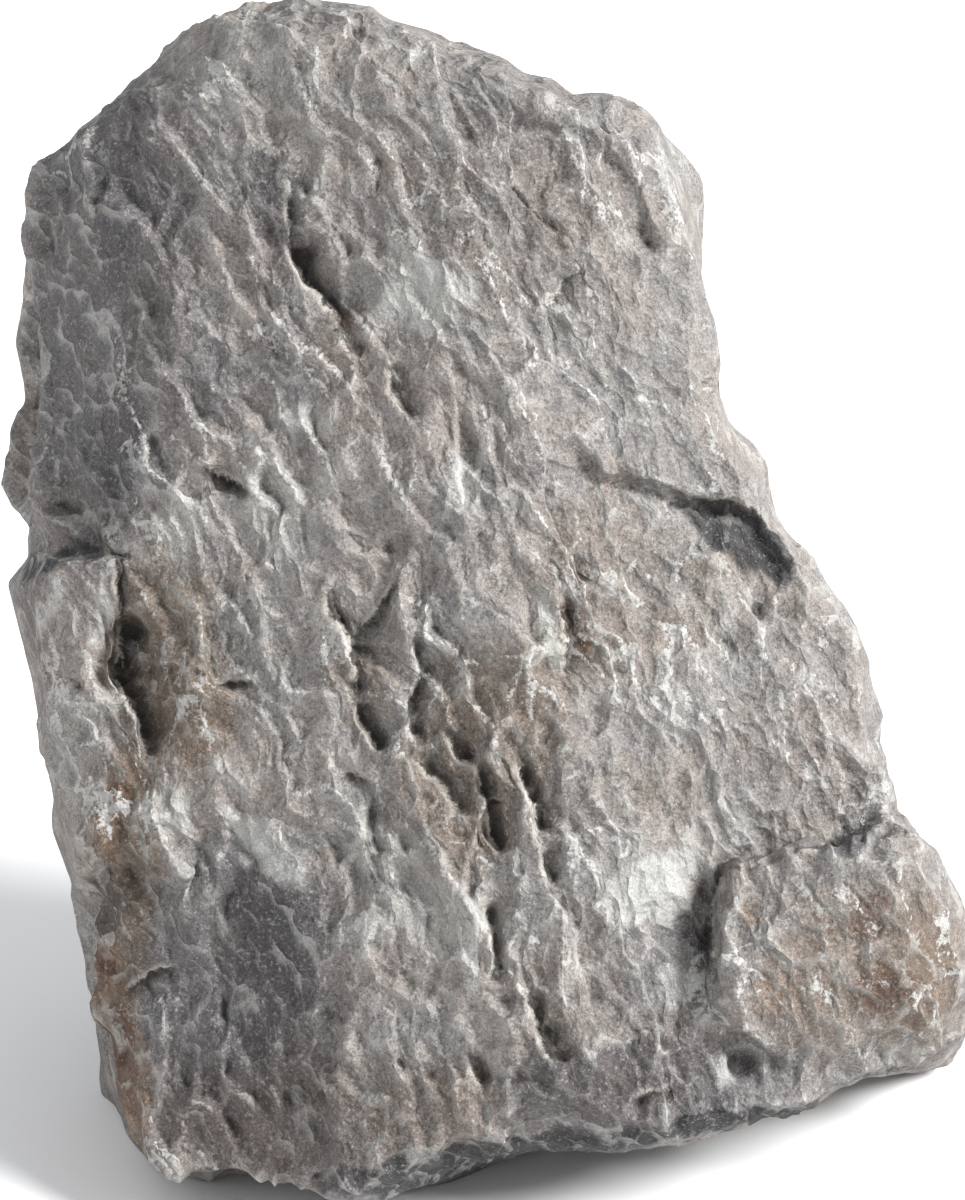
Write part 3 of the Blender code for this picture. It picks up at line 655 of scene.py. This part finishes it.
def remesh(obj, size):
    """Gives the mesh an even grain of this size."""
    modifier = obj.modifiers.new("even grain", "REMESH")
    modifier.mode = "VOXEL"
    modifier.voxel_size = size
    apply_modifiers(obj)


def thin_out(obj, triangles):
    """Leaves about this many triangles, fewest where the surface is flat."""
    faces = sum(len(polygon.vertices) - 2 for polygon in obj.data.polygons)
    modifier = obj.modifiers.new("thin out", "DECIMATE")
    modifier.ratio = triangles / faces
    modifier.use_collapse_triangulate = True
    apply_modifiers(obj)


def drop_crumbs(shape):
    """Keeps the largest connected piece of the mesh."""
    left = set(shape.verts)
    pieces = []
    while left:
        reached = [left.pop()]
        for vertex in reached:
            for edge in vertex.link_edges:
                other = edge.other_vert(vertex)
                if other in left:
                    left.remove(other)
                    reached.append(other)
        pieces.append(reached)
    for piece in sorted(pieces, key=len)[:-1]:
        bmesh.ops.delete(shape, geom=piece, context="VERTS")


def cut_base(obj):
    """Cuts the rock flat at Z = 0, closes the cut and centres the rock's box over the origin.

    Returns how far it was moved, in metres."""
    shape = bmesh.new()
    shape.from_mesh(obj.data)
    everything = shape.verts[:] + shape.edges[:] + shape.faces[:]
    bmesh.ops.bisect_plane(
        shape, geom=everything, dist=0.0001, plane_co=(0, 0, 0), plane_no=(0, 0, 1), clear_inner=True
    )
    drop_crumbs(shape)
    rim = [edge for edge in shape.edges if edge.is_boundary]
    for vertex in {vertex for edge in rim for vertex in edge.verts}:
        vertex.co.z = 0
    bmesh.ops.holes_fill(shape, edges=rim, sides=0)
    bmesh.ops.recalc_face_normals(shape, faces=shape.faces)
    places = np.array([vertex.co for vertex in shape.verts])
    centre = (places.min(axis=0) + places.max(axis=0)) / 2 * (1, 1, 0)
    bmesh.ops.translate(shape, verts=shape.verts, vec=-centre)
    shape.to_mesh(obj.data)
    shape.free()
    return centre


def store(mesh, name, values):
    """Keeps a number or a vector for each vertex, for the material to read."""
    kind, field = ("FLOAT", "value") if values.ndim == 1 else ("FLOAT_VECTOR", "vector")
    mesh.attributes.new(name, kind, "POINT").data.foreach_set(field, values.astype(np.float32).ravel())


def rise(points):
    """How high points in (u, v, w) stand on the leaning face, in mm."""
    return points[:, 1] * math.cos(LEAN) + points[:, 2] * math.sin(LEAN)


def weathered_rock():
    obj = sphere_object()
    body = press(points_of(obj.data))
    floor = BASE_LEVEL - 4  # a little below the base plane, so that the cut leaves one flat face
    low = rise(body) < floor
    body[low, 1] = (floor - body[low, 2] * math.sin(LEAN)) / math.cos(LEAN)
    move_points(obj.data, body)
    remesh(obj, VOXEL)
    body = points_of(obj.data)
    normal = outwards(obj.data, PUSH_REACH)
    height = rise(body) - BASE_LEVEL
    amount, lips = relief(body, normal)
    store(obj.data, "lips", lips)
    store(obj.data, "flow", flow_of(body))
    body += normal * (amount * smoothstep(0, FOOT, height))[:, None]
    move_points(obj.data, stand(body))
    thin_out(obj, TRIANGLES)
    return obj, cut_base(obj)


rock, centre = weathered_rock()
for polygon in rock.data.polygons:
    polygon.use_smooth = True
print("rock:", len(rock.data.polygons), "faces, moved by", -centre.round(4), "m")

# %% [markdown]
# ## Where the crust, the dirt, the stains and the painted shade are
#
# Lime crust forms on the edges and crests that dry out first, dirt stays in the hollows together with painted
# shade, and iron stains follow cracks. So most masks come from the surface itself: how far a point stands out
# from its neighbours, near and far, how close the lip between two dishes is, and how close the nearest crack,
# whose floor is darkened with painted shade and whose lip is pale. Patches that belong to one place are
# listed
# one by one: the fresh dark fracture under the ledge, painted shade along the underside and in notches,
# stains, lime, edges that stayed bare of crust, cooler and warmer tones, and painted shade on the left flank
# and towards the foot.
# All are stored on the vertices, and the shader breaks their edges up with noise.

# %%
PATCHES = {  # mask: (u, v, half width, half height, turn in degrees, strength)
    "slate_and_shade": [  # fresh dark fracture, and painted shade; darkest where the strength is over 1
        (104, 26, 26, 10, -38, 2.2),
        (-146, 62, 14, 26, 0, 0.6),
        (148, -97, 9, 5, 20, 1.2),
        (-174, 14, 13, 4, 10, 1.8),
        (-158, 20, 8, 3, 5, 1.2),
        (-82, -142, 22, 44, -14, 0.8),
        # the next three: painted shade along the underside at the foot and under the lower-right block
        (4, -225, 66, 9, 9, 2.4),
        (96, -209, 44, 4.5, 10, 1.8),
        (161, -190, 12, 3.5, 12, 2.0),
        # painted shade in the notch between the lime blob and the lower-right block
        (84, -134, 6, 14, 25, 0.8),
        (-140, -34, 7, 30, 10, 0.7),
        (-82, 162, 12, 22, 0, 0.7),
        (-146, 150, 10, 34, 0, 0.6),
        # painted shade on the left-facing wall of the lower-right block
        (94, -112, 4, 12, -20, 0.9),
        (-150, -124, 8, 18, 0, 0.9),
        (118, 150, 4, 12, 12, 0.9),
        (110, 172, 4, 8, 12, 0.9),
    ],
    "ochre": [  # iron stain, thin and old
        (94, 12, 16, 9, 0, 0.55),
        (80, -12, 16, 10, 0, 0.5),
        (39, -13, 6, 14, 4, 1.2),
        (-58, -22, 8, 8, 0, 0.5),
        (107, -125, 5, 6, 0, 0.8),
        (115, -159, 10, 11, 0, 0.75),
        (140, -150, 34, 30, 0, 0.5),
        (-144, -178, 11, 46, 12, 1.6),
        (-148, -88, 7, 20, -10, 0.9),
        (-44, -40, 12, 20, 0, 0.4),
        (-30, -206, 40, 14, 5, 0.4),
    ],
    "rust": [  # iron stain, fresh
        (39, -12, 6, 15, 4, 1.2),
        (-50, 114, 7, 8, 30, 0.8),
        (-149, -82, 4, 8, 0, 0.7),
        (-151, -150, 6, 14, 0, 0.8),
        (-143, -186, 7, 26, 12, 1.1),
        (163, -156, 15, 9, 10, 0.9),
        (156, -126, 10, 12, -20, 0.75),
        (-60, 86, 6, 5, 0, 0.4),
        (-149, 26, 4, 4, 0, 0.9),
    ],
    "chalk": [  # lime
        (70, -114, 22, 13, 30, 1.5),
        (92, -92, 24, 12, 20, 0.6),
        (78, -154, 10, 9, 20, 0.9),
        (-22, 122, 20, 17, 10, 1.1),
        (64, -36, 28, 20, 0, 0.5),
        (-6, 48, 7, 15, 0, 0.9),
        (-80, 34, 18, 30, 10, 0.8),
        (-86, -99, 24, 8, -38, 1.2),
        (-124, -86, 11, 12, 0, 1.1),
        (28, -12, 5, 18, 6, 1.4),
        (35, -58, 4, 4, 0, 1.3),
        (-69, 73, 13, 8, 0, 0.9),
        (-120, 29, 10, 16, 0, 0.9),
        (-34, -100, 24, 16, -20, 0.6),
        (86, 96, 24, 54, -12, 0.3),
        (-44, -130, 14, 14, 0, 0.5),
        (-30, 215, 26, 10, -10, 0.4),
        (-150.5, -2, 4.5, 18, -3, 1.2),
        (-173, -4, 5, 13, -15, 1.0),
        (-148, -40, 6, 7, -30, 0.9),
        (-14, -126, 28, 18, 0, 0.8),
        (176, -176, 22, 7, 35, 0.6),
        (180, -120, 6, 24, 12, 0.5),
        (98, -188, 4, 8, 0, 0.9),
    ],
    "bare": [  # without crust
        (82, 30, 11, 9, 0, 0.8),
        (-50, -196, 66, 36, 0, 0.35),
        (-44, -220, 20, 18, 0, 0.5),
        (-150, -168, 18, 50, 8, 0.3),
    ],
    "shade": [  # cool painted shade on the left flank, the lower left and the foot; a cooler tone elsewhere
        (-150, 120, 38, 110, -3, 1.0),
        (-78, 98, 14, 24, 0, 0.5),
        (-112, 92, 22, 24, 0, 0.6),
        (-82, 146, 22, 30, 0, 0.5),
        (-98, -158, 44, 70, -8, 0.9),
        (-80, -214, 70, 20, 6, 0.6),
        (64, -194, 60, 20, 5, 1.0),
        (20, 165, 38, 52, -10, 0.35),
        (-182, 0, 12, 34, 0, 0.6),
        (52, -160, 18, 14, 0, 0.4),
        (80, -146, 18, 26, 0, 0.6),
    ],
    "warm_tone_and_shade": [  # warm painted shade towards the foot; a warmer, darker tone elsewhere
        (-146, -128, 16, 90, -8, 1.0),
        (0, -62, 34, 52, -25, 0.7),
        (144, -146, 44, 36, 0, 0.5),
        (-60, -206, 84, 26, 5, 0.5),
        (-180, -20, 12, 30, 0, 0.5),
        (-128, -20, 26, 44, 0, 0.8),
        (-46, -34, 18, 20, 0, 0.5),
        (-60, 100, 14, 20, 20, 0.4),
        (40, -186, 40, 26, 0, 0.4),
        (12, 155, 44, 50, -10, 0.3),
        (52, 8, 28, 50, 0, 0.4),
        (176, -150, 20, 36, 0, 0.9),
        (-114, -44, 18, 26, 0, 0.9),
        (52, -76, 26, 16, 0, 0.3),
    ],
}
PATCH_BEND, PATCH_BEND_SIZE = 5, 12  # how far the edges of patches wander, and over what length, mm
BEHIND = 30  # patches, and the painted shade and pale lips of cracks, fade out this far behind the rim's level, mm
DARK_DEPTHS = (2, 7)  # a crack this shallow gets no painted shade, and one this deep gets the darkest, mm
NEAR_ROUNDS, FAR_ROUNDS = 3, 24  # rounds of smoothing that edges and hollows are measured from


def patch_mask(u, v, patches):
    """The strongest of the patches at each place."""
    mask = np.zeros(len(u))
    for *spot, strength in patches:
        mask = np.maximum(mask, strength * smoothstep(-0.55, 0.75, in_ellipse(u, v, spot)))
    return mask


def crack_lines(u, v):
    """For the nearest crack: how far off its line is, minus beyond the lip, how dark its painted shade and
    how pale its lip are there."""
    shallow, full = DARK_DEPTHS
    u, v = wander(u, v)
    found = np.tile((9.0, 0.0, 0.0), (len(u), 1))
    nearest = np.full(len(u), 40.0)
    for line, width, depth in CRACKS:
        distance, ends, right = to_crack(u, v, line)
        near = distance < nearest
        nearest = np.where(near, distance, nearest)
        # painted shade: darker the deeper the crack, at the foot of its wall and part way up its floor
        foot = np.where(right, smoothstep(5, 2, distance), np.clip(1 - distance / (0.5 * width), 0, 1))
        dark = np.clip((depth - shallow) / (full - shallow), 0, 1) * ends * foot
        pale = min(depth / full, 1) * ends * smoothstep(6, 3, distance)
        here = np.stack([np.where(right, -distance, distance), dark, pale], 1)
        found = np.where(near[:, None], here, found)
    return found


def standing_out(mesh, rounds):
    """How far each vertex stands out from the surface smoothed this many times, in mm."""
    points = points_of(mesh)
    away = points - averaged(mesh, points, rounds)
    return (away * points_of(mesh, "vertex_normals", "vector")).sum(1) / MM


def weather(obj, centre):
    """Stores every mask on the rock."""
    mesh = obj.data
    p = points_of(mesh)
    u, v, w = lie(p + (centre[0], centre[1], 0)).T
    around = np.stack([u, v, w], 1) / PATCH_BEND_SIZE
    bend = PATCH_BEND * np.stack([noise(around, 91), noise(around, 92)])
    in_front = smoothstep(-BEHIND, 0, w)
    near, far = standing_out(mesh, NEAR_ROUNDS), standing_out(mesh, FAR_ROUNDS)
    store(mesh, "edge", np.clip(0.9 * near + 0.22 * far, 0, 2) * smoothstep(-20, 20, w + 40))
    # how far a point lies below its neighbours, which the material turns into dirt and painted shade
    store(mesh, "hollow", np.clip(-0.9 * near - 0.25 * far, 0, 2))
    cracks = crack_lines(u, v)
    cracks[:, 1:] *= in_front[:, None]
    store(mesh, "crack", cracks)
    for name, patches in PATCHES.items():
        store(mesh, name, patch_mask(u + bend[0], v + bend[1], patches) * in_front)
    for what, values in (("near", near), ("far", far)):
        print("standing out,", what, "in mm:", *np.percentile(values, [5, 50, 95]).round(2))


weather(rock, centre)

# %% [markdown]
# ## Weathered limestone
#
# Limestone is a matt grey dielectric, IOR about 1.5, with nothing but roughness and colour to tell its parts
# apart. Cool and warm greys mix at the size of bed mottling (20 mm), blotches (7 mm) and sand (1 mm). The
# dishes too small for the mesh, 8 mm and 4 mm wide, are a bump that follows the same flow.

# %%
def linear(hex_colour):
    """An sRGB hex colour as linear RGBA."""
    values = [int(hex_colour[i : i + 2], 16) / 255 for i in (1, 3, 5)]
    return (*[c / 12.92 if c <= 0.04045 else ((c + 0.055) / 1.055) ** 2.4 for c in values], 1)


def per_size(mm):
    """The scale of a noise texture whose features are this big."""
    return 1 / (mm * MM)


def new_material(name):
    material = bpy.data.materials.new(name)
    material.use_nodes = True
    return material, material.node_tree, material.node_tree.nodes["Principled BSDF"]


def add(tree, kind, inputs=None, **settings):
    """Adds a node: settings are its properties, inputs are socket values or the sockets that feed them."""
    node = tree.nodes.new(kind)
    for name, value in settings.items():
        setattr(node, name, value)
    for name, value in (inputs or {}).items():
        if isinstance(value, bpy.types.NodeSocket):
            tree.links.new(value, node.inputs[name])
        else:
            node.inputs[name].default_value = value
    return node


def limestone():
    material, tree, shader = new_material("weathered grey limestone")
    place = add(tree, "ShaderNodeTexCoord").outputs["Object"]
    flow = add(tree, "ShaderNodeAttribute", attribute_name="flow").outputs["Vector"]

    def grain(size, detail=3, rough=0.6):
        inputs = {"Vector": place, "Scale": per_size(size), "Detail": detail, "Roughness": rough}
        return add(tree, "ShaderNodeTexNoise", inputs)

    def math_of(operation, a, b):
        return add(tree, "ShaderNodeMath", {0: a, 1: b}, operation=operation).outputs[0]

    def plus(value, *layers):
        """The value with each layer, times its weight, added."""
        for layer, weight in layers:
            value = math_of("ADD", value, math_of("MULTIPLY", layer, weight))
        return value

    def vector_of(operation, a, b):
        node = add(tree, "ShaderNodeVectorMath", {0: a, 1: b}, operation=operation)
        return node.outputs["Value" if operation == "DOT_PRODUCT" else "Vector"]

    def ramp(value, low, high, to_low=0.0, to_high=1.0):
        inputs = {"Value": value, "From Min": low, "From Max": high, "To Min": to_low, "To Max": to_high}
        return add(tree, "ShaderNodeMapRange", inputs).outputs[0]

    def mask(name):
        return add(tree, "ShaderNodeAttribute", attribute_name=name).outputs["Fac"]

    def mix(share, a, b, blend="MIX"):
        inputs = {0: share, 6: a, 7: b}  # a Mix node's sockets for colour
        return add(tree, "ShaderNodeMix", inputs, data_type="RGBA", blend_type=blend).outputs[2]

    def parts_of(name):
        inputs = {"Vector": add(tree, "ShaderNodeAttribute", attribute_name=name).outputs["Vector"]}
        return add(tree, "ShaderNodeSeparateXYZ", inputs).outputs[:]

    bend = vector_of("SUBTRACT", grain(7, 2).outputs["Color"], (0.5, 0.5, 0.5))
    bent = vector_of("ADD", flow, vector_of("MULTIPLY", bend, (4, 4, 4)))

    def dishes(across, along, depth):
        """Height in mm of dishes this wide and long, each climbing to a lip."""
        cell = vector_of("DIVIDE", bent, (across, along, across * 1.5))
        nearest = add(tree, "ShaderNodeTexVoronoi", {"Vector": cell, "Scale": 1.0})
        away = vector_of("SUBTRACT", cell, nearest.outputs["Position"])
        dish = math_of("MULTIPLY", nearest.outputs["Distance"], nearest.outputs["Distance"])
        height = math_of("ADD", dish, vector_of("DOT_PRODUCT", away, tuple(TILT)))
        return math_of("MULTIPLY", height, depth)

    small = math_of("ADD", dishes(8, 11, 3.8), dishes(4.2, 5.2, 0.8))
    # sizes in mm: bed mottling, blotches, flecks, specks and sand
    mottle, blotch = grain(34, 3, 0.55).outputs["Fac"], grain(7, 4, 0.65).outputs["Fac"]
    fleck = grain(3.4, 3, 0.7).outputs["Fac"]
    speck, sand = grain(1.6, 3, 0.7).outputs["Fac"], grain(0.7, 1, 0.5).outputs["Fac"]
    # what breaks edges up: three noises, evenly about 0
    broken = plus(math_of("MULTIPLY", fleck, 0.5), (blotch, 0.2), (speck, 0.5))
    broken = math_of("MULTIPLY", math_of("SUBTRACT", broken, 0.6), 5.0)

    def ragged(value, amount):
        return plus(value, (broken, amount))

    def patch(colour, name, shade, low, high, most=1.0, amount=0.35):
        return mix(ramp(ragged(mask(name), amount), low, high, 0.0, most), colour, linear(shade))

    # the stone itself, then fresh breaks with painted shade under the foot and in notches, and stains
    colour = mix(ramp(mottle, 0.42, 0.58), linear("#868483"), linear("#8f8782"))
    colour = mix(ramp(blotch, 0.42, 0.64, 0.0, 0.8), colour, linear("#a49f9a"))
    colour = patch(colour, "slate_and_shade", "#4f4e52", 0.3, 0.9, 0.8)
    colour = patch(colour, "slate_and_shade", "#2e2e31", 1.0, 1.4, 0.8)
    colour = patch(colour, "ochre", "#8f7862", 0.35, 1.0, 0.75)
    colour = patch(colour, "rust", "#64432f", 0.35, 0.9, 0.7)
    # cool and warm painted shade on the left flank and towards the foot; cooler and warmer tones elsewhere
    for name, tint in (("shade", "#b9b9c0"), ("warm_tone_and_shade", "#cdbcab")):
        share = ramp(ragged(mask(name), 0.25), 0.1, 0.9)
        colour = mix(share, colour, mix(1.0, colour, linear(tint), "MULTIPLY"))
    # dark and pale specks, dirt and painted shade low in the small dishes, and lime on their rims
    colour = mix(ramp(speck, 0.5, 0.7, 0.0, 0.65), colour, linear("#504c49"))
    colour = mix(ramp(speck, 0.44, 0.3, 0.0, 0.55), colour, linear("#aeaca8"))
    colour = mix(ramp(small, 1.1, -0.5, 0.0, 0.3), colour, linear("#5b5651"))
    colour = mix(ramp(ragged(small, 0.8), 1.7, 3.4, 0.0, 0.6), colour, linear("#b9b7b3"))
    colour = patch(colour, "chalk", "#b8b8b4", 0.4, 1.2, 0.75, 0.6)
    # painted shade together with dirt, in the hollows of the mesh
    colour = patch(colour, "hollow", "#2e2b27", 0.45, 1.4, 0.85)

    # crust on the lips between dishes: a line, broken where there is little of it
    large_lip, small_lip, crust = parts_of("lips")
    near_lip = ramp(ragged(math_of("MINIMUM", large_lip, math_of("ADD", small_lip, 0.4)), 3.5), 4.0, 0.6)
    marks = ((mask("chalk"), 0.5), (mask("shade"), -0.3), (mask("slate_and_shade"), -0.3), (mask("bare"), -1))
    crust = plus(crust, *marks)
    share = ramp(math_of("MULTIPLY", near_lip, crust), 0.28, 0.72, 0.0, 0.9)
    colour = mix(share, colour, linear("#b9b8b5"))
    colour = patch(colour, "edge", "#bfbeba", 0.9, 1.7, 0.65, 0.9)

    # cracks: painted shade, darkest at the foot of the wall and less up the floor, and a pale line along the
    # lip
    beyond, dark, pale = parts_of("crack")
    beyond = ragged(beyond, 1.2)
    colour = mix(math_of("MULTIPLY", ramp(beyond, -1.0, 0.0), dark), colour, linear("#2c2823"))
    lip = math_of("MULTIPLY", ramp(beyond, -3.4, -1.9), ramp(beyond, -0.7, -1.4))
    colour = mix(math_of("MULTIPLY", lip, ramp(pale, 0.2, 1.0, 0.0, 0.75)), colour, linear("#bdb8b0"))
    colour = mix(ramp(sand, 0.3, 0.7, 0.0, 0.7), colour, linear("#565350"), "SOFT_LIGHT")
    tree.links.new(colour, shader.inputs["Base Color"])

    height = plus(small, (fleck, 0.8), (speck, 0.3), (sand, 0.06))  # in mm
    bump = add(tree, "ShaderNodeBump", {"Height": height, "Distance": MM, "Strength": 1.0})
    tree.links.new(bump.outputs[0], shader.inputs["Normal"])
    tree.links.new(ramp(blotch, 0.3, 0.7, 0.82, 0.96), shader.inputs["Roughness"])
    shader.inputs["IOR"].default_value = 1.5
    print(material.name + ":", len(tree.nodes), "nodes")
    return material


rock.data.materials.append(limestone())
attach(rock, "root")
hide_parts(NAME)

# %% [markdown]
# ## Stage, light and camera
#
# A pale floor, a white surround that fills the shadows, and one large soft lamp high on the right, which
# leaves the left flank in shade.

# %%
FLOOR_REACH = 12  # from the middle of the floor to its edge, in metres


def floor():
    material, tree, shader = new_material("pale studio floor")
    shader.inputs["Base Color"].default_value = linear("#f4f4f4")
    shader.inputs["Roughness"].default_value = 0.9
    shape = bmesh.new()
    bmesh.ops.create_grid(shape, x_segments=1, y_segments=1, size=FLOOR_REACH)
    mesh = bpy.data.meshes.new("floor")
    shape.to_mesh(mesh)
    shape.free()
    mesh.materials.append(material)
    obj = bpy.data.objects.new("floor", mesh)
    bpy.context.scene.collection.objects.link(obj)


def distant_lamp(name, towards, spread, strength):
    """Parallel light, softened by its spread, that reaches the whole floor alike."""
    light = bpy.data.lights.new(name, "SUN")
    light.angle = math.radians(spread)
    light.energy = strength
    obj = bpy.data.objects.new(name, light)
    obj.rotation_euler = Vector(towards).to_track_quat("Z", "Y").to_euler()
    bpy.context.scene.collection.objects.link(obj)


def surround(strength):
    """White light from all around."""
    world = bpy.data.worlds.new("white surround")
    world.use_nodes = True
    background = world.node_tree.nodes["Background"]
    background.inputs["Color"].default_value = linear("#fafcff")
    background.inputs["Strength"].default_value = strength
    bpy.context.scene.world = world


def camera(centre):
    """Looks square on to the broad face from VIEW_DISTANCE, so that the face's height fills the frame."""
    sensor, frame_height, aside = 36, 480, 1  # mm
    data = bpy.data.cameras.new("camera")
    data.sensor_width = sensor
    data.lens = sensor * VIEW_DISTANCE / frame_height
    obj = bpy.data.objects.new("camera", data)
    out = Vector((0, -math.cos(LEAN), math.sin(LEAN)))
    middle = Vector((aside * MM - centre[0], -centre[1], -BASE_LEVEL * MM))
    obj.location = middle + out * VIEW_DISTANCE * MM
    obj.rotation_euler = (math.pi / 2 - LEAN, 0, 0)
    bpy.context.scene.collection.objects.link(obj)
    bpy.context.scene.camera = obj
    print("camera:", round(data.lens), "mm lens at", obj.location)


floor()
surround(strength=0.8)
distant_lamp("key", towards=(0.78, -0.34, 0.62), spread=20, strength=6.0)
camera(centre)
bpy.context.scene.view_settings.view_transform = "Standard"
